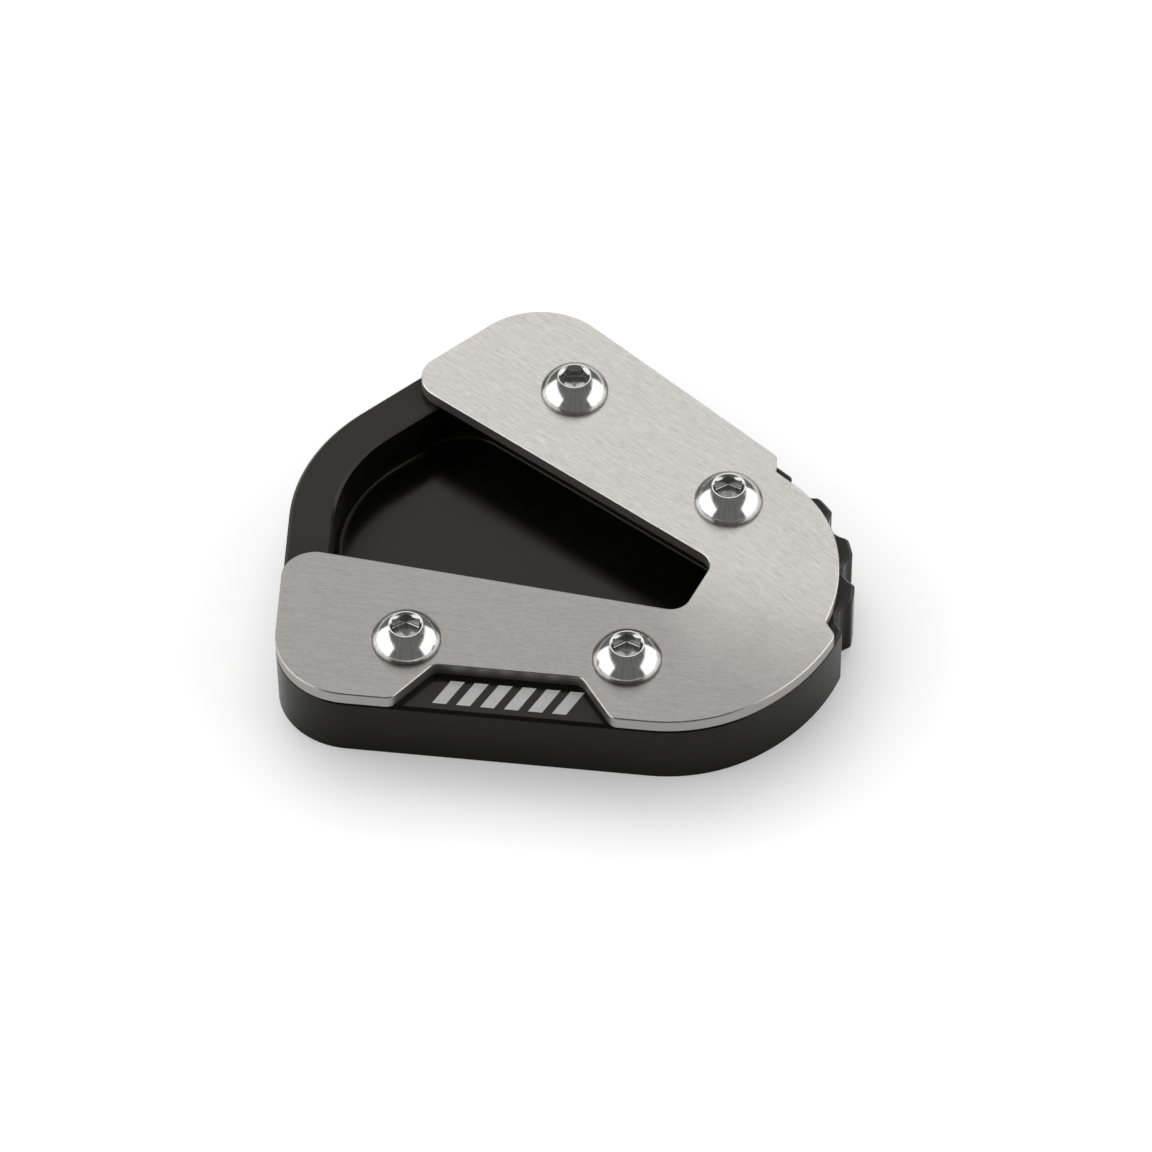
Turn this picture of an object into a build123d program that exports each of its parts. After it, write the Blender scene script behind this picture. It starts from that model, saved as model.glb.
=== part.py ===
from build123d import *
import math
import os

# Foot enlarger for a motorcycle's side stand.
# A milled aluminium tray spreads the stand's load over soft ground. A V-shaped stainless plate lies on
# the tray, and four button-head screws clamp it down over the rim of the stand's foot.
# X runs along the slot's axis to the toothed nose, Y to the left, Z up. Sizes are in millimetres.
# The plan is laid out from the point on the axis between the two nose screws. At the end everything is
# moved so that the origin is the middle of the ground face.

# Plan that the tray and the plate share
SIDE_HALF_WIDTH = 30.55      # from the axis to an outer side, beside the nose screws
SIDE_ANGLE = 18.9            # an outer side's angle to the axis
HEEL_REACH = 65.6            # from the nose screws back to where the two heel edges would meet
HEEL_ANGLE = 23.6            # a heel edge's angle to the cross direction
OUTER_CORNER_RADIUS = 12.0
NOSE_REACH = 26.15           # from the nose screws forward to the tip
NOSE_TIP_RADIUS = 33.0
NOSE_TIP_HALF_WIDTH = 17.6   # from the axis to where the tip's arc meets a side arc

# Tray
TRAY_HEIGHT = 10.4
TRAY_TOP_CHAMFER = 0.5
HEEL_RADIUS = 30.0

# Pocket for the stand's foot
POCKET_DEPTH = 8.0
POCKET_CORNER_RADIUS = 8.0
POCKET_FLOOR_RADIUS = 0.8
POCKET_RIM_CHAMFER = 0.45
HEEL_WALL = 7.0

# Teeth, left standing between round scallops in the left of the nose
SCALLOP_COUNT = 4
SCALLOP_START = 5.9          # along the nose line, from the tip to the first scallop
SCALLOP_PITCH = 9.62         # along the nose line
SCALLOP_RADIUS = 3.3
SCALLOP_DEPTH = 1.8
TOOTH_CORNER_RADIUS = 1.1

# Clamp plate
PLATE_THICKNESS = 2.0
PLATE_EDGE_BREAK = 0.15
SLOT_HALF_WIDTH = 6.5        # from the axis to the slot's side, beside the nose screws
SLOT_ANGLE = 13.15           # a slot side's angle to the axis
SLOT_PAST_SCREWS = 3.3       # from the nose screws forward to the slot's end
SLOT_CORNER_RADIUS = 3.0
ARM_TIP_RADIUS = 5.0
PLATE_CORNER_RADIUS = 1.8    # where the step and the window meet the outline
PLATE_LIP = 5.0              # how far the plate reaches over the pocket

# Step in the plate's nose, which leaves the teeth in view
STEP_INSET = 2.45
STEP_MARGIN = 6.1            # along the nose line, from the outer scallops to the step's flanks
STEP_FLANK_ANGLE = 38.0      # a flank's lean outward
STEP_CORNER_RADIUS = 0.8     # at the step's floor

# Window in the plate's right side, which shows the tray
WINDOW_BACK = 12.6           # from the nose screws back to its middle, on the outer side
WINDOW_DEPTH = 7.5
WINDOW_FLOOR_LENGTH = 22.3
WINDOW_FLANK_ANGLE = 54.5
WINDOW_CORNER_RADIUS = 1.8   # at the window's floor

# M6 button-head screws
SCREW_EDGE_DISTANCE = 12.0   # from an outer side to the screws
HEEL_SCREW_BACK = 31.5       # from the nose screws back to the heel screws
THREAD_DIAMETER = 6.0
THREAD_CLEARANCE = 0.05      # all round the thread
PLATE_HOLE_CLEARANCE = 0.3   # all round the thread
SCREW_END_RECESS = 0.4       # from the ground face up to the screw's end
SCREW_END_CHAMFER = 0.8
HEAD_DIAMETER = 10.5
HEAD_HEIGHT = 3.3
HEAD_BAND = 0.85             # height of the upright band below the dome
SOCKET_ACROSS_FLATS = 4.0
SOCKET_DEPTH = 2.1
SOCKET_RIM_DIAMETER = 5.2
SOCKET_RIM_SLOPE = 30.0      # degrees from level

# Place along the axis, side of the axis, and turn of the socket in degrees
SCREWS = {
    "screw_nose_left": (0.0, 1, 56.7),
    "screw_nose_right": (0.0, -1, 56.7),
    "screw_heel_left": (-HEEL_SCREW_BACK, 1, 26.7),
    "screw_heel_right": (-HEEL_SCREW_BACK, -1, 56.7),
}

PLATE_TOP = TRAY_HEIGHT + PLATE_THICKNESS
FAR = 2 * (HEEL_REACH + NOSE_REACH)   # well outside the part


def sine(degrees):
    return math.sin(math.radians(degrees))


def cosine(degrees):
    return math.cos(math.radians(degrees))


def polar(centre, reach, angle):
    """The point at a distance from a centre, in a direction given in degrees."""
    return (centre[0] + reach * cosine(angle), centre[1] + reach * sine(angle))


def meet(line, other):
    """Where two plan lines cross. Each is a point and a direction in degrees."""
    (x, y), angle = line
    (other_x, other_y), other_angle = other
    across = (other_x - x) * sine(other_angle) - (other_y - y) * cosine(other_angle)
    return polar((x, y), across / sine(other_angle - angle), angle)


def mirrored(point):
    """The same point on the other side of the axis."""
    return (point[0], -point[1])


def both_sides(*points):
    """The points and their mirror images."""
    return [*points, *(mirrored(point) for point in points)]


def round_corners(sketch, corners, radius):
    """Round the corners of a sketch that lie at the given points."""
    picked = [sketch.vertices().sort_by_distance(Vector(*corner))[0] for corner in corners]
    return fillet(picked, radius)


def blunted(sketch, radius):
    """Round every outward corner of a sketch, also beside short edges, by moving its edge in and out again."""
    return offset(offset(sketch, -radius), radius)


# Straight lines of the plan's left half, and the points where they meet
SIDE_LINE = ((0, SIDE_HALF_WIDTH), -SIDE_ANGLE)
HEEL_LINE = ((-HEEL_REACH, 0), 90 - HEEL_ANGLE)
SLOT_LINE = ((0, SLOT_HALF_WIDTH), -SLOT_ANGLE)
SLOT_END_LINE = ((SLOT_PAST_SCREWS, 0), 90)
SCREW_LINE = ((0, SIDE_HALF_WIDTH - SCREW_EDGE_DISTANCE / cosine(SIDE_ANGLE)), -SIDE_ANGLE)
HEEL_POINT = (-HEEL_REACH, 0)
OUTER_CORNER = meet(SIDE_LINE, HEEL_LINE)


def nose_line():
    """The line round the nose, from the right outer corner over the tip to the left one."""
    centre = (NOSE_REACH - NOSE_TIP_RADIUS, 0)
    turn = math.degrees(math.asin(NOSE_TIP_HALF_WIDTH / NOSE_TIP_RADIUS))
    tip_end = polar(centre, NOSE_TIP_RADIUS, turn)
    crossing = meet((tip_end, turn + 90), SIDE_LINE)
    side_end = polar(crossing, math.dist(crossing, tip_end), 180 - SIDE_ANGLE)
    return Wire([
        Line(mirrored(OUTER_CORNER), mirrored(side_end)),
        TangentArc(mirrored(side_end), mirrored(tip_end), tangent=polar((0, 0), 1, SIDE_ANGLE)),
        CenterArc(centre, NOSE_TIP_RADIUS, -turn, 2 * turn),
        TangentArc(tip_end, side_end, tangent=polar((0, 0), 1, turn + 90)),
        Line(side_end, OUTER_CORNER),
    ])


def on_nose(way):
    """The point at a way along the nose line, to the left of the tip, and the direction outward there."""
    line = nose_line()
    place = line.length / 2 + way
    point = line.position_at(place, position_mode=PositionMode.LENGTH)
    outward = line.tangent_angle_at(place, position_mode=PositionMode.LENGTH) - 90
    return (point.X, point.Y), outward


def shared_outline():
    """The outline that both pieces start from, with a pointed heel."""
    heel = Polyline(OUTER_CORNER, HEEL_POINT, mirrored(OUTER_CORNER))
    outline = make_face([*nose_line().edges(), *heel.edges()])
    return round_corners(outline, both_sides(OUTER_CORNER), OUTER_CORNER_RADIUS)


def scallop_places():
    """Centres of the round scallops, evenly spaced along the nose line."""
    places = []
    for number in range(SCALLOP_COUNT):
        point, outward = on_nose(SCALLOP_START + number * SCALLOP_PITCH)
        places.append(polar(point, SCALLOP_RADIUS - SCALLOP_DEPTH, outward))
    return places


def toothed_outline():
    """The tray's outline, with a rounded heel and the row of scallops."""
    outline = round_corners(shared_outline(), [HEEL_POINT], HEEL_RADIUS)
    for place in scallop_places():
        outline -= Pos(*place) * Circle(SCALLOP_RADIUS)
    return blunted(outline, TOOTH_CORNER_RADIUS)


def pocket_outline():
    """The pocket: it follows the slot under the plate and keeps the heel wall's thickness."""
    side = ((0, SLOT_HALF_WIDTH + PLATE_LIP / cosine(SLOT_ANGLE)), -SLOT_ANGLE)
    heel_point = (-HEEL_REACH + HEEL_WALL / cosine(HEEL_ANGLE), 0)
    heel_corner = meet(side, (heel_point, 90 - HEEL_ANGLE))
    end_corner = meet(side, ((SLOT_PAST_SCREWS + PLATE_LIP, 0), 90))
    outline = Polygon(end_corner, heel_corner, heel_point, mirrored(heel_corner), mirrored(end_corner))
    outline = round_corners(outline, [heel_point], HEEL_RADIUS - HEEL_WALL)
    return round_corners(outline, both_sides(heel_corner, end_corner), POCKET_CORNER_RADIUS)


def screw_places():
    """The plan place of each screw, by name."""
    places = {}
    for name, (x, side, turn) in SCREWS.items():
        y = meet(SCREW_LINE, ((x, 0), 90))[1]
        places[name] = (x, side * y)
    return places


def holes(radius, bottom, top):
    """Upright cylinders at the four screws."""
    centred_on_floor = (Align.CENTER, Align.CENTER, Align.MIN)
    return [
        Pos(x, y, bottom) * Cylinder(radius, top - bottom, align=centred_on_floor)
        for x, y in screw_places().values()
    ]


def pocket():
    """The space milled out of the tray, with a rounded floor edge."""
    floor = TRAY_HEIGHT - POCKET_DEPTH
    space = extrude(Pos(0, 0, floor) * pocket_outline(), POCKET_DEPTH)
    return fillet(space.faces().sort_by(Axis.Z)[0].edges(), POCKET_FLOOR_RADIUS)


def base_tray():
    """The milled tray, with its pocket, teeth and tapped holes."""
    tray = extrude(toothed_outline(), TRAY_HEIGHT)
    tray = chamfer(tray.faces().sort_by(Axis.Z)[-1].edges(), TRAY_TOP_CHAMFER)
    tray -= pocket()
    rim = tray.faces().sort_by(Axis.Z)[-1].inner_wires()
    tray = chamfer(rim.edges(), POCKET_RIM_CHAMFER)
    return tray - holes(THREAD_DIAMETER / 2 + THREAD_CLEARANCE, 0, TRAY_HEIGHT)


def cut_slot(outline):
    """Cut the tapered slot, open at the heel, and round its end and the tips of the two arms."""
    end = meet(SLOT_LINE, SLOT_END_LINE)
    mouth = meet(SLOT_LINE, ((-FAR, 0), 90))
    arm_tip = meet(SLOT_LINE, HEEL_LINE)
    outline -= Polygon(end, mouth, mirrored(mouth), mirrored(end))
    outline = round_corners(outline, both_sides(end), SLOT_CORNER_RADIUS)
    return round_corners(outline, both_sides(arm_tip), ARM_TIP_RADIUS)


def cut_step(outline):
    """Set the nose back along the teeth, between two flanks that lean outward."""
    right, right_outward = on_nose(SCALLOP_START - STEP_MARGIN)
    left, left_outward = on_nose(SCALLOP_START + (SCALLOP_COUNT - 1) * SCALLOP_PITCH + STEP_MARGIN)
    right_lean = right_outward - STEP_FLANK_ANGLE
    left_lean = left_outward + STEP_FLANK_ANGLE
    sector = Polygon(
        polar(right, -2 * STEP_INSET, right_lean),
        polar(right, FAR, right_lean),
        (FAR, FAR),
        polar(left, FAR, left_lean),
        polar(left, -2 * STEP_INSET, left_lean),
    )
    return outline - blunted(sector - offset(shared_outline(), -STEP_INSET), STEP_CORNER_RADIUS)


def cut_window(outline):
    """Cut the window into the right outer side, with leaning flanks and rounded corners."""
    middle = mirrored(meet(SIDE_LINE, ((-WINDOW_BACK, 0), 90)))
    inward = polar(middle, WINDOW_DEPTH, SIDE_ANGLE + 90)
    front = polar(inward, WINDOW_FLOOR_LENGTH / 2, SIDE_ANGLE)
    back = polar(inward, -WINDOW_FLOOR_LENGTH / 2, SIDE_ANGLE)
    front_far = polar(front, FAR, SIDE_ANGLE - WINDOW_FLANK_ANGLE)
    back_far = polar(back, FAR, SIDE_ANGLE + 180 + WINDOW_FLANK_ANGLE)
    return outline - blunted(Polygon(back, back_far, front_far, front), WINDOW_CORNER_RADIUS)


def plate_outline():
    """The V-shaped plate: the shared outline less the slot, the step over the teeth and the window."""
    return blunted(cut_window(cut_step(cut_slot(shared_outline()))), PLATE_CORNER_RADIUS)


def clamp_plate():
    """The stainless plate on the tray, with its upper edges broken and its four clearance holes."""
    plate = extrude(Pos(0, 0, TRAY_HEIGHT) * plate_outline(), PLATE_THICKNESS)
    plate = chamfer(plate.faces().sort_by(Axis.Z)[-1].edges(), PLATE_EDGE_BREAK)
    return plate - holes(THREAD_DIAMETER / 2 + PLATE_HOLE_CLEARANCE, TRAY_HEIGHT, PLATE_TOP)


def screw_blank():
    """The turned screw without its socket, upright, with the plate's top at height 0."""
    shank = THREAD_DIAMETER / 2
    head = HEAD_DIAMETER / 2
    rim = SOCKET_RIM_DIAMETER / 2
    length = PLATE_TOP - SCREW_END_RECESS
    dome_centre = (HEAD_HEIGHT ** 2 + rim ** 2 - HEAD_BAND ** 2 - head ** 2) / (2 * (HEAD_HEIGHT - HEAD_BAND))
    dome_radius = math.dist((rim, HEAD_HEIGHT), (0, dome_centre))
    below = Polyline(
        (0, HEAD_HEIGHT),
        (0, -length),
        (shank - SCREW_END_CHAMFER, -length),
        (shank, SCREW_END_CHAMFER - length),
        (shank, 0),
        (head, 0),
        (head, HEAD_BAND),
    )
    dome = RadiusArc((head, HEAD_BAND), (rim, HEAD_HEIGHT), -dome_radius)
    top = Line((rim, HEAD_HEIGHT), (0, HEAD_HEIGHT))
    return revolve(Plane.XZ * make_face([*below.edges(), dome, top]), Axis.Z)


def socket():
    """The space of the hexagon socket, with its sloped rim."""
    flat = SOCKET_ACROSS_FLATS / 2
    rim = SOCKET_RIM_DIAMETER / 2
    rim_depth = (rim - flat) * math.tan(math.radians(SOCKET_RIM_SLOPE))
    hexagon = Pos(0, 0, HEAD_HEIGHT - SOCKET_DEPTH) * RegularPolygon(flat, 6, major_radius=False)
    rim_cone = Pos(0, 0, HEAD_HEIGHT - rim_depth / 2) * Cone(flat, rim, rim_depth)
    return extrude(hexagon, SOCKET_DEPTH) + rim_cone


def screw(place, turn):
    """One screw at its plan place, with its socket turned as it was left when tightened."""
    return Pos(*place, PLATE_TOP) * (screw_blank() - Rot(0, 0, turn) * socket())


def all_parts():
    """Every piece by name, with the origin at the middle of the ground face."""
    parts = {"base_tray": base_tray(), "clamp_plate": clamp_plate()}
    for name, place in screw_places().items():
        parts[name] = screw(place, SCREWS[name][2])
    middle = parts["base_tray"].bounding_box().center()
    return {name: Pos(-middle.X, -middle.Y, 0) * part for name, part in parts.items()}


os.makedirs("parts", exist_ok=True)
for node, solid in all_parts().items():
    export_step(solid, f"parts/{node}.step")
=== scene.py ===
import math

import bmesh
import bpy
from mathutils import Matrix, Vector


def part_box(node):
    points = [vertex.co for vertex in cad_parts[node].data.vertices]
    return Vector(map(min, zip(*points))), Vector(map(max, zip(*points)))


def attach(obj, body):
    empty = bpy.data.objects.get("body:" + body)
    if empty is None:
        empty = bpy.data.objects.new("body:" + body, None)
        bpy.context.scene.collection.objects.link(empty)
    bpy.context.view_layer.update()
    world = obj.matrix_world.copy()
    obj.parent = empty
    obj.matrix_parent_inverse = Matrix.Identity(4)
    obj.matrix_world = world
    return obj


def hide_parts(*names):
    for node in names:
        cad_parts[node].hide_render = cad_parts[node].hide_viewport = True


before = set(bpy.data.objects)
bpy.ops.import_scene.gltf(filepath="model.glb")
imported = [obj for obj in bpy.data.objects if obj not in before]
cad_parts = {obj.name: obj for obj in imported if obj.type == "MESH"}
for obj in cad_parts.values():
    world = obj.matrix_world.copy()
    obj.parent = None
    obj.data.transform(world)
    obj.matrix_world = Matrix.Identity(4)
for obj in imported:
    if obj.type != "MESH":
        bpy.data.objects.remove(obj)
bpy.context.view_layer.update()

# Looks for the foot enlarger: satin black tray, brushed plate, bright screws.
# Lengths are in millimetres and are turned into metres where a mesh or camera is made.
# Only the lamps and the floor's size are given in metres.
MM = 0.001

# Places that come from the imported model
NOSE_SCREWS = ["screw_nose_left", "screw_nose_right"]
SCREWS = NOSE_SCREWS + ["screw_heel_left", "screw_heel_right"]
PLATE_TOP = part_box("clamp_plate")[1].z / MM
TRAY_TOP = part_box("base_tray")[1].z / MM
NOSE_SCREW_X = sum(sum(corner.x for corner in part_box(name)) for name in NOSE_SCREWS) / 4 / MM

# Camera, aimed at a point on the plate's top
AIM_BEHIND_NOSE_SCREWS = 14.17
AIM_SIDE = -6.25
CAMERA_DISTANCE = 882.04
CAMERA_AZIMUTH = -63.34
CAMERA_ELEVATION = 47.77
CAMERA_ROLL = -0.776
CAMERA_LENS = 182.23
CAMERA_SENSOR = 36.0

# Screws
HEAD_RADIUS = 5.25
HEAD_HEIGHT = 3.299          # a hair under the plain head's 3.3
HEAD_BAND = 0.55
HEAD_UNDERCUT = 0.15
HEAD_BAND_EDGE = 0.12        # height of the slope between the band and the dome
SHANK_RADIUS = 3.0
SHANK_END_CHAMFER = 0.8
SOCKET_FLAT = 2.0
SOCKET_RIM_RADIUS = 2.6
SOCKET_RIM_DEPTH = 0.35
SOCKET_LAND = 0.15           # width of the flat ring round the rim
SOCKET_EDGE = 0.10           # breadth of the broken edges in the socket
SOCKET_DEPTH = 2.1
SOCKET_POINT = 0.5
SOCKET_POINT_START = 0.8     # share of the flats' distance at which the drill point begins
SOCKET_POINT_END = 0.05
SOCKET_TURNS = {
    "screw_nose_left": 56.7,
    "screw_nose_right": 56.7,
    "screw_heel_left": 26.7,
    "screw_heel_right": 56.7,
}
ROUND_STEPS = 144
DOME_STEPS = 14
SHARP_ANGLE = 24

# Generic mark of slanted bars in the window
MARK_BACK = 13.3             # from the nose screws back to its middle
MARK_SIDE = -31.0
MARK_THICKNESS = 0.02
BAR_COUNT = 6
BAR_WIDTH = 2.1
BAR_PITCH = 3.6
BAR_HEIGHT = 4.6
BAR_SLANT = 2.2

# Floor: its glow, where the light of its painted shadow comes from, and how far off the object dims it
FLOOR_SIZE = 12.0            # in metres
FLOOR_GAP = 0.03
FLOOR_COLOUR = (0.8, 0.8, 0.8, 1)
GLOW_SHADED = 0.2
GLOW_OPEN = 0.66
GLOW_MIRRORED = 0.5          # share of the glow that reflections show
LEE_TURN = 14.0
LEE_ELEVATION = 40.0
LEE_REACH = 22.0

# Lamps: name, azimuth from the back, elevation, distance, width, height, level, roll
SOFTBOXES = [
    ("back_softbox", 0, 46, 1.5, 1.5, 0.8, 1.15, 0),
    ("left_softbox", 92, 21, 1.0, 1.5, 0.75, 1.6, 4),
    ("right_softbox", -90, 19, 1.0, 1.5, 0.75, 1.6, -4),
]
ROOM_LEVEL = 0.16

# Colours of the plate. The right arm's darker colour is painted shade, added to the darker look that its
# grain gives it under the lamps.
LEFT_ARM_COLOUR = (0.66, 0.637, 0.602, 1)
RIGHT_ARM_PAINTED_SHADE_COLOUR = (0.47, 0.445, 0.425, 1)
CUT_EDGE_COLOUR = (0.50, 0.49, 0.475, 1)
CUT_EDGE_ROUGHNESS = 0.45
PLATE_ANISOTROPY = 0.75

# Tray's finish, and the reach of the painted shade in its corners
TRAY_IOR = 1.34
TRAY_TINT = (1.0, 0.96, 0.9, 1)
PAINTED_SHADE_CORNER_REACH = 8.0           # how far off a wall dims the shine

# The part of a noise's range that most of its values lie in
NOISE_LOW = 0.3
NOISE_HIGH = 0.7

# Directions of the outer sides and of the brushing, in degrees from the slot's axis
SIDE_ANGLE = 18.9
LEFT_GRAIN_ANGLE = 13.0
NOSE_GRAIN_ANGLE = 20.0
RIGHT_GRAIN_ANGLE = 15.5


def direction(azimuth, elevation):
    """Unit vector toward a place round the object, in degrees."""
    across = math.cos(math.radians(elevation))
    return Vector((
        across * math.cos(math.radians(azimuth)),
        across * math.sin(math.radians(azimuth)),
        math.sin(math.radians(elevation)),
    ))


# Nodes

def new_material(name):
    """An empty node material and its Principled shader."""
    material = bpy.data.materials.new(name)
    material.use_nodes = True
    tree = material.node_tree
    return material, tree, tree.nodes["Principled BSDF"]


def add_node(tree, kind, inputs=None, **settings):
    """Add a node, with its settings, and give its inputs a value or a link."""
    node = tree.nodes.new(kind)
    for name, value in settings.items():
        setattr(node, name, value)
    for name, value in (inputs or {}).items():
        socket = node.inputs[name]
        if isinstance(value, bpy.types.NodeSocket):
            tree.links.new(value, socket)
        else:
            socket.default_value = value
    return node


def math_node(tree, operation, *values):
    """A Math node on one to three values or links."""
    return add_node(tree, "ShaderNodeMath", dict(enumerate(values)), operation=operation).outputs[0]


def map_range(tree, value, low, high, to_low, to_high, smooth=False):
    """Spread a value from one range to another."""
    node = add_node(
        tree,
        "ShaderNodeMapRange",
        {"Value": value, "From Min": low, "From Max": high, "To Min": to_low, "To Max": to_high},
        interpolation_type="SMOOTHSTEP" if smooth else "LINEAR",
    )
    return node.outputs["Result"]


def mix_colours(tree, share, first, second, blend="MIX"):
    """Mix two colours, each a value or a link."""
    node = tree.nodes.new("ShaderNodeMix")
    node.data_type = "RGBA"
    node.blend_type = blend
    for socket, value in ((node.inputs[0], share), (node.inputs[6], first), (node.inputs[7], second)):
        if isinstance(value, bpy.types.NodeSocket):
            tree.links.new(value, socket)
        else:
            socket.default_value = value
    return node.outputs[2]


def mix_values(tree, share, first, second):
    """Mix two values, each a number or a link."""
    return add_node(tree, "ShaderNodeMix", {0: share, 2: first, 3: second}).outputs[0]


def mix_vectors(tree, share, first, second):
    """Mix two vectors, each a value or a link."""
    node = tree.nodes.new("ShaderNodeMix")
    node.data_type = "VECTOR"
    for socket, value in ((node.inputs[0], share), (node.inputs[4], first), (node.inputs[5], second)):
        if isinstance(value, bpy.types.NodeSocket):
            tree.links.new(value, socket)
        else:
            socket.default_value = value
    return node.outputs[1]


def spread(tree, value, low, high):
    """Spread a noise over a range."""
    return map_range(tree, value, NOISE_LOW, NOISE_HIGH, low, high)


def grey(tree, tone, blue=1.0):
    """A grey from a tone, warmer where its blue is less than one."""
    return add_node(
        tree,
        "ShaderNodeCombineColor",
        {0: tone, 1: tone, 2: math_node(tree, "MULTIPLY", tone, blue)},
    ).outputs[0]


def noise(tree, place, scale, detail=2.0, roughness=0.5):
    """Noise at a place, as a value about one half."""
    return add_node(
        tree,
        "ShaderNodeTexNoise",
        {"Vector": place, "Scale": scale, "Detail": detail, "Roughness": roughness},
    ).outputs["Fac"]


def grain(tree, place, angle, length, width, detail=3.0):
    """Streaks of noise at an angle to the slot's axis, with a length and a width in millimetres."""
    turned = add_node(
        tree,
        "ShaderNodeVectorRotate",
        {"Vector": place, "Angle": math.radians(-angle)},
        rotation_type="Z_AXIS",
    ).outputs[0]
    stretched = add_node(
        tree,
        "ShaderNodeVectorMath",
        {0: turned, 1: (1 / (length * MM), 1 / (width * MM), 1 / (width * MM))},
        operation="MULTIPLY",
    ).outputs[0]
    return noise(tree, stretched, 1.0, detail, 0.6)


# Materials

def brushed_steel():
    """Stainless sheet, brushed along each arm, with the strokes turning and crossing on the nose, and
    painted shade that darkens the right arm.
    """
    material, tree, shader = new_material("brushed_steel")
    place = add_node(tree, "ShaderNodeTexCoord").outputs["Object"]
    parts = add_node(tree, "ShaderNodeSeparateXYZ", {0: place})
    wander = noise(tree, place, 160.0)
    # 1 on the nose, 0 on the arms
    nose = map_range(
        tree,
        math_node(tree, "MULTIPLY_ADD", wander, 8 * MM, parts.outputs["X"]),
        NOSE_SCREW_X * MM, (NOSE_SCREW_X + 14) * MM, 0.0, 1.0, smooth=True,
    )
    # 1 on the left arm, 0 on the right one, with a wide change on the nose
    left = map_range(
        tree,
        math_node(tree, "MULTIPLY_ADD", wander, 5 * MM, parts.outputs["Y"]),
        math_node(tree, "MULTIPLY", nose, -18 * MM),
        math_node(tree, "MULTIPLY_ADD", nose, 8 * MM, 3 * MM),
        0.0, 1.0, smooth=True,
    )

    def streaks(length, width):
        arm = grain(tree, place, -LEFT_GRAIN_ANGLE, length, width)
        tip = grain(tree, place, -NOSE_GRAIN_ANGLE, length, width)
        other = grain(tree, place, RIGHT_GRAIN_ANGLE, length, width)
        return mix_values(tree, left, other, mix_values(tree, nose, arm, tip))

    fine = streaks(2.6, 0.11)
    broad = streaks(9.0, 0.35)
    hairs = map_range(tree, streaks(7.0, 0.10), 0.60, 0.72, 0.0, 0.2)
    mottle = spread(tree, noise(tree, place, 1100.0, 3.0, 0.7), 0.94, 1.05)
    tone = math_node(tree, "ADD", spread(tree, fine, 0.66, 1.16), hairs)
    broad_tone = spread(tree, broad, 0.96, 1.04)
    both = math_node(tree, "MULTIPLY", math_node(tree, "MULTIPLY", tone, broad_tone), mottle)
    # Painted shade: the right arm, and the nose towards it, get a darker colour than the left arm.
    base = mix_colours(tree, left, RIGHT_ARM_PAINTED_SHADE_COLOUR, LEFT_ARM_COLOUR)
    colour = mix_colours(tree, 1.0, base, grey(tree, both), "MULTIPLY")
    # 1 on the cut edges, which are duller than the faces and have no grain
    normal = add_node(tree, "ShaderNodeTexCoord").outputs["Normal"]
    facing = add_node(tree, "ShaderNodeSeparateXYZ", {0: normal})
    upright = math_node(tree, "ABSOLUTE", facing.outputs["Z"])
    cut = map_range(tree, upright, 0.3, 0.6, 1.0, 0.0)
    tree.links.new(mix_colours(tree, cut, colour, CUT_EDGE_COLOUR), shader.inputs["Base Color"])
    sheen = spread(tree, fine, 0.25, 0.37)
    tree.links.new(mix_values(tree, cut, sheen, CUT_EDGE_ROUGHNESS), shader.inputs["Roughness"])
    tree.links.new(mix_values(tree, cut, PLATE_ANISOTROPY, 0.0), shader.inputs["Anisotropic"])
    # Highlights spread along the tangent, so it lies across the grain, as on brushed steel.
    across = mix_vectors(
        tree, left,
        tuple(direction(90 + RIGHT_GRAIN_ANGLE, 0)),
        tuple(direction(90 - NOSE_GRAIN_ANGLE, 0)),
    )
    tree.links.new(across, shader.inputs["Tangent"])
    bump = add_node(tree, "ShaderNodeBump", {"Height": fine, "Strength": 0.15, "Distance": 0.02 * MM})
    tree.links.new(bump.outputs[0], shader.inputs["Normal"])
    shader.inputs["Metallic"].default_value = 1.0
    return material


def black_anodise():
    """Satin black anodised aluminium, slightly cloudy and finely speckled, with painted shade that dims
    the shine in deep corners.
    """
    material, tree, shader = new_material("black_anodise")
    place = add_node(tree, "ShaderNodeTexCoord").outputs["Object"]
    cloud = noise(tree, place, 90.0, 3.0)
    speckle = noise(tree, place, 2600.0, 2.0)
    tone = math_node(
        tree, "ADD",
        spread(tree, cloud, 0.003, 0.006),
        spread(tree, speckle, 0.0, 0.003),
    )
    tree.links.new(grey(tree, tone, 0.85), shader.inputs["Base Color"])
    tree.links.new(spread(tree, cloud, 0.15, 0.21), shader.inputs["Roughness"])
    bump = add_node(tree, "ShaderNodeBump", {"Height": speckle, "Strength": 0.05, "Distance": 0.01 * MM})
    tree.links.new(bump.outputs[0], shader.inputs["Normal"])
    # Painted shade: an occlusion node dims the shine in deep corners.
    painted_shade_openness = add_node(
        tree,
        "ShaderNodeAmbientOcclusion",
        {"Distance": PAINTED_SHADE_CORNER_REACH * MM},
        samples=2,
    ).outputs["AO"]
    tree.links.new(map_range(tree, painted_shade_openness, 0.2, 0.75, 0.1, 0.5), shader.inputs["Specular IOR Level"])
    shader.inputs["IOR"].default_value = TRAY_IOR
    shader.inputs["Specular Tint"].default_value = TRAY_TINT
    return material


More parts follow.
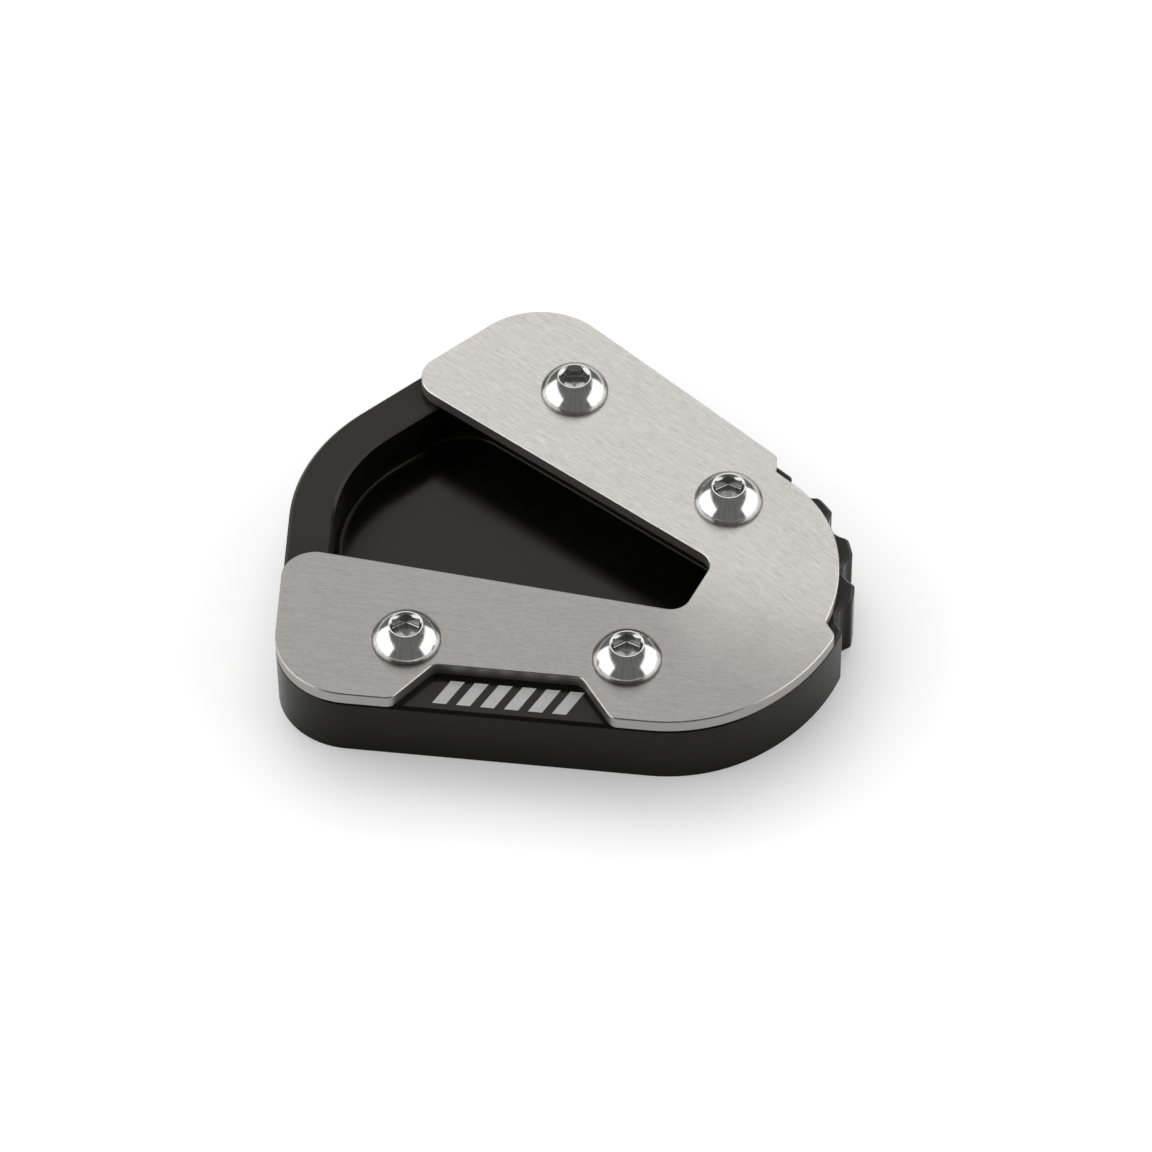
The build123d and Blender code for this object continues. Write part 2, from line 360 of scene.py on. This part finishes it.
def bright_steel():
    """Bright stainless screws, with faint smears and streaks that run out from the socket."""
    material, tree, shader = new_material("bright_steel")
    place = add_node(tree, "ShaderNodeTexCoord").outputs["Object"]
    smear = noise(tree, place, 900.0, 3.0)
    flat = add_node(tree, "ShaderNodeVectorMath", {0: place, 1: (1, 1, 0)}, operation="MULTIPLY")
    outward = add_node(tree, "ShaderNodeVectorMath", {0: flat.outputs[0]}, operation="NORMALIZE")
    streak = noise(tree, outward.outputs[0], 9.0, 3.0, 0.7)
    tone = math_node(
        tree, "MULTIPLY",
        spread(tree, smear, 0.66, 0.74),
        spread(tree, streak, 0.82, 1.12),
    )
    tree.links.new(grey(tree, tone, 0.98), shader.inputs["Base Color"])
    tree.links.new(spread(tree, smear, 0.13, 0.20), shader.inputs["Roughness"])
    shader.inputs["Metallic"].default_value = 1.0
    return material


def socket_steel():
    """The pressed steel inside the sockets, duller and darker than the heads."""
    material, tree, shader = new_material("socket_steel")
    place = add_node(tree, "ShaderNodeTexCoord").outputs["Object"]
    smear = noise(tree, place, 1500.0, 3.0)
    tone = spread(tree, smear, 0.42, 0.56)
    tree.links.new(grey(tree, tone, 0.97), shader.inputs["Base Color"])
    tree.links.new(spread(tree, smear, 0.14, 0.22), shader.inputs["Roughness"])
    shader.inputs["Metallic"].default_value = 1.0
    return material


def pale_print():
    """The mark's pale laser print, slightly uneven."""
    material, tree, shader = new_material("pale_print")
    place = add_node(tree, "ShaderNodeTexCoord").outputs["Object"]
    patches = noise(tree, place, 700.0, 4.0)
    tone = spread(tree, patches, 0.72, 0.82)
    tree.links.new(grey(tree, tone), shader.inputs["Base Color"])
    shader.inputs["Roughness"].default_value = 0.6
    return material


def white_floor():
    """Floor that is white to the camera, dimmer in reflections, and keeps the lamps' shadow, to which
    its glow adds a painted shadow.
    """
    material, tree, shader = new_material("white_floor")
    shader.inputs["Base Color"].default_value = FLOOR_COLOUR
    shader.inputs["Roughness"].default_value = 0.9
    rays = add_node(tree, "ShaderNodeLightPath")
    # Reflections show only a share of the glow, which keeps the tray's front dark.
    mirrored = math_node(
        tree, "MULTIPLY",
        math_node(tree, "MAXIMUM", rays.outputs["Is Glossy Ray"], rays.outputs["Is Transmission Ray"]),
        GLOW_MIRRORED,
    )
    seen = math_node(tree, "MAXIMUM", rays.outputs["Is Camera Ray"], mirrored)
    # Painted shadow: the glow fades where the object hides the back light.
    lee = direction(CAMERA_AZIMUTH + 180 + LEE_TURN, LEE_ELEVATION)
    toward_light = add_node(tree, "ShaderNodeCombineXYZ", {0: lee.x, 1: lee.y, 2: lee.z}).outputs[0]
    painted_shade_openness = add_node(
        tree,
        "ShaderNodeAmbientOcclusion",
        {"Normal": toward_light, "Distance": LEE_REACH * MM},
        samples=3,
    ).outputs["AO"]
    glow_level = map_range(tree, painted_shade_openness, 0.35, 0.82, GLOW_SHADED, GLOW_OPEN)
    strength = math_node(tree, "MULTIPLY", seen, glow_level)
    glow = add_node(tree, "ShaderNodeEmission", {"Color": (1, 1, 1, 1), "Strength": strength})
    both = add_node(tree, "ShaderNodeAddShader", {0: shader.outputs[0], 1: glow.outputs[0]})
    tree.links.new(both.outputs[0], tree.nodes["Material Output"].inputs["Surface"])
    return material


# Screws

def hexagon_radius(angle, turn):
    """Distance from the socket's middle to its wall, at an angle in degrees."""
    within = (angle - turn) % 60 - 30
    return SOCKET_FLAT / math.cos(math.radians(within))


def ring(mesh, radius, height, turn=None):
    """A closed row of vertices. With a turn, the radius is the distance to the hexagon's flats."""
    row = []
    for step in range(ROUND_STEPS):
        angle = 360 * step / ROUND_STEPS
        reach = radius if turn is None else hexagon_radius(angle, turn) * radius / SOCKET_FLAT
        level = height(reach) if callable(height) else height
        x = reach * math.cos(math.radians(angle))
        y = reach * math.sin(math.radians(angle))
        row.append(mesh.verts.new((x * MM, y * MM, level * MM)))
    return row


def bridge(mesh, rows):
    """Faces between each row and the next."""
    for first, second in zip(rows, rows[1:]):
        for step in range(ROUND_STEPS):
            after = (step + 1) % ROUND_STEPS
            mesh.faces.new((first[step], first[after], second[after], second[step]))


def dome_profile():
    """Points of the dome's section, from the band up to the socket's rim."""
    head, rim = HEAD_RADIUS, SOCKET_RIM_RADIUS
    centre = (HEAD_HEIGHT ** 2 + rim ** 2 - HEAD_BAND ** 2 - head ** 2) / (2 * (HEAD_HEIGHT - HEAD_BAND))
    radius = math.hypot(rim, HEAD_HEIGHT - centre)
    start = math.degrees(math.atan2(HEAD_BAND - centre, head))
    end = math.degrees(math.atan2(HEAD_HEIGHT - centre, rim))
    points = []
    for step in range(DOME_STEPS + 1):
        angle = math.radians(start + (end - start) * step / DOME_STEPS)
        points.append((radius * math.cos(angle), centre + radius * math.sin(angle)))
    return points


def finished_screw(node, head_material, socket_material):
    """A button-head screw with a smooth dome and a hexagon socket, in the place of its CAD node."""
    low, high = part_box(node)
    turn = SOCKET_TURNS[node]
    length = PLATE_TOP - low.z / MM
    mesh = bmesh.new()
    dome = dome_profile()
    profile = [
        (SHANK_RADIUS - SHANK_END_CHAMFER, -length),
        (SHANK_RADIUS, SHANK_END_CHAMFER - length),
        (SHANK_RADIUS, 0.0),
        (HEAD_RADIUS - HEAD_UNDERCUT, 0.0),
        (HEAD_RADIUS, HEAD_UNDERCUT),
        (HEAD_RADIUS, HEAD_BAND - HEAD_BAND_EDGE),
        *dome[1:],
    ]
    rows = [ring(mesh, radius, height) for radius, height in profile]
    slope = SOCKET_RIM_DEPTH / (SOCKET_RIM_RADIUS - SOCKET_LAND - SOCKET_FLAT)
    floor = HEAD_HEIGHT - SOCKET_DEPTH

    def on_cone(reach):
        return HEAD_HEIGHT - (SOCKET_RIM_RADIUS - SOCKET_LAND - reach) * slope

    rows.append(ring(mesh, SOCKET_RIM_RADIUS - SOCKET_LAND, HEAD_HEIGHT))
    rows.append(ring(mesh, SOCKET_FLAT + SOCKET_EDGE, on_cone, turn))
    rows.append(ring(mesh, SOCKET_FLAT, lambda reach: on_cone(reach) - SOCKET_EDGE, turn))
    rows.append(ring(mesh, SOCKET_FLAT, floor + SOCKET_EDGE, turn))
    rows.append(ring(mesh, SOCKET_FLAT - SOCKET_EDGE, floor, turn))
    rows.append(ring(mesh, SOCKET_FLAT * SOCKET_POINT_START, floor, turn))
    rows.append(ring(mesh, SOCKET_POINT_END, floor - SOCKET_POINT))
    bridge(mesh, rows)
    mesh.faces.new(rows[-1])
    mesh.faces.new(list(reversed(rows[0])))
    for face in mesh.faces:
        middle = face.calc_center_median() / MM
        if middle.z > 0 and math.hypot(middle.x, middle.y) < SOCKET_RIM_RADIUS - SOCKET_LAND:
            face.material_index = 1
    bmesh.ops.recalc_face_normals(mesh, faces=mesh.faces)
    data = bpy.data.meshes.new(node + "_finished")
    mesh.to_mesh(data)
    mesh.free()
    data.materials.append(head_material)
    data.materials.append(socket_material)
    data.shade_smooth()
    data.set_sharp_from_angle(angle=math.radians(SHARP_ANGLE))
    screw = bpy.data.objects.new(node + "_finished", data)
    bpy.context.scene.collection.objects.link(screw)
    screw.location = ((low.x + high.x) / 2, (low.y + high.y) / 2, PLATE_TOP * MM)
    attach(screw, "root")
    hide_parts(node)


# Mark in the window

def slanted_bars(material):
    """A generic mark of slanted bars, printed on the tray's top."""
    mesh = bmesh.new()
    for number in range(BAR_COUNT):
        middle = (number - (BAR_COUNT - 1) / 2) * BAR_PITCH
        corners = [
            (middle - BAR_WIDTH / 2 - BAR_SLANT / 2, -BAR_HEIGHT / 2),
            (middle + BAR_WIDTH / 2 - BAR_SLANT / 2, -BAR_HEIGHT / 2),
            (middle + BAR_WIDTH / 2 + BAR_SLANT / 2, BAR_HEIGHT / 2),
            (middle - BAR_WIDTH / 2 + BAR_SLANT / 2, BAR_HEIGHT / 2),
        ]
        face = mesh.faces.new([mesh.verts.new((x * MM, y * MM, 0)) for x, y in corners])
        solid = bmesh.ops.extrude_face_region(mesh, geom=[face])
        raised = [item for item in solid["geom"] if isinstance(item, bmesh.types.BMVert)]
        bmesh.ops.translate(mesh, verts=raised, vec=(0, 0, MARK_THICKNESS * MM))
    bmesh.ops.recalc_face_normals(mesh, faces=mesh.faces)
    data = bpy.data.meshes.new("slanted_bars")
    mesh.to_mesh(data)
    mesh.free()
    data.materials.append(material)
    bars = bpy.data.objects.new("slanted_bars", data)
    bpy.context.scene.collection.objects.link(bars)
    place = Vector((NOSE_SCREW_X - MARK_BACK, MARK_SIDE, TRAY_TOP)) * MM
    bars.matrix_world = Matrix.Translation(place) @ Matrix.Rotation(math.radians(SIDE_ANGLE), 4, "Z")
    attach(bars, "root")


# Studio

def floor_sheet():
    """The pale floor under the object, a hair below it so that the two faces stay apart."""
    bpy.ops.mesh.primitive_plane_add(size=FLOOR_SIZE, location=(0, 0, -FLOOR_GAP * MM))
    floor = bpy.context.object
    floor.name = "floor"
    floor.data.materials.append(white_floor())


def softbox(name, azimuth, elevation, distance, width, height, level, roll):
    """A rectangular soft light that faces the object, in metres. Level is its surface's brightness."""
    light = bpy.data.lights.new(name, "AREA")
    light.shape = "RECTANGLE"
    light.size = width
    light.size_y = height
    light.energy = level * width * height * math.pi
    box = bpy.data.objects.new(name, light)
    bpy.context.scene.collection.objects.link(box)
    toward = direction(azimuth, elevation)
    box.location = toward * distance
    upright = toward.to_track_quat("Z", "Y").to_matrix()
    box.rotation_euler = (upright @ Matrix.Rotation(math.radians(roll), 3, "Z")).to_euler()


def studio_lights():
    """A back softbox that the plate reflects, two side softboxes and a dim room."""
    for name, turn, *rest in SOFTBOXES:
        softbox(name, CAMERA_AZIMUTH + 180 + turn, *rest)
    world = bpy.data.worlds.new("studio")
    bpy.context.scene.world = world
    world.use_nodes = True
    background = world.node_tree.nodes["Background"]
    background.inputs["Color"].default_value = (1, 1, 1, 1)
    background.inputs["Strength"].default_value = ROOM_LEVEL


def photo_camera():
    """The camera at the photograph's angle."""
    data = bpy.data.cameras.new("camera")
    data.sensor_fit = "HORIZONTAL"
    data.sensor_width = CAMERA_SENSOR
    data.lens = CAMERA_LENS
    data.clip_start = 0.01
    data.clip_end = 50
    camera = bpy.data.objects.new("camera", data)
    bpy.context.scene.collection.objects.link(camera)
    aim = Vector((NOSE_SCREW_X - AIM_BEHIND_NOSE_SCREWS, AIM_SIDE, PLATE_TOP)) * MM
    backward = direction(CAMERA_AZIMUTH, CAMERA_ELEVATION)
    upright = backward.to_track_quat("Z", "Y").to_matrix().to_4x4()
    roll = Matrix.Rotation(math.radians(CAMERA_ROLL), 4, "Z")
    camera.matrix_world = Matrix.Translation(aim + backward * CAMERA_DISTANCE * MM) @ upright @ roll
    bpy.context.scene.camera = camera


def dress_cad_nodes():
    """Give the tray and the plate their materials."""
    for node, material in (("base_tray", black_anodise()), ("clamp_plate", brushed_steel())):
        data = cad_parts[node].data
        data.materials.clear()
        data.materials.append(material)


dress_cad_nodes()
screw_materials = bright_steel(), socket_steel()
for name in SCREWS:
    finished_screw(name, *screw_materials)
slanted_bars(pale_print())
floor_sheet()
studio_lights()
photo_camera()
bpy.context.scene.view_settings.view_transform = "Standard"
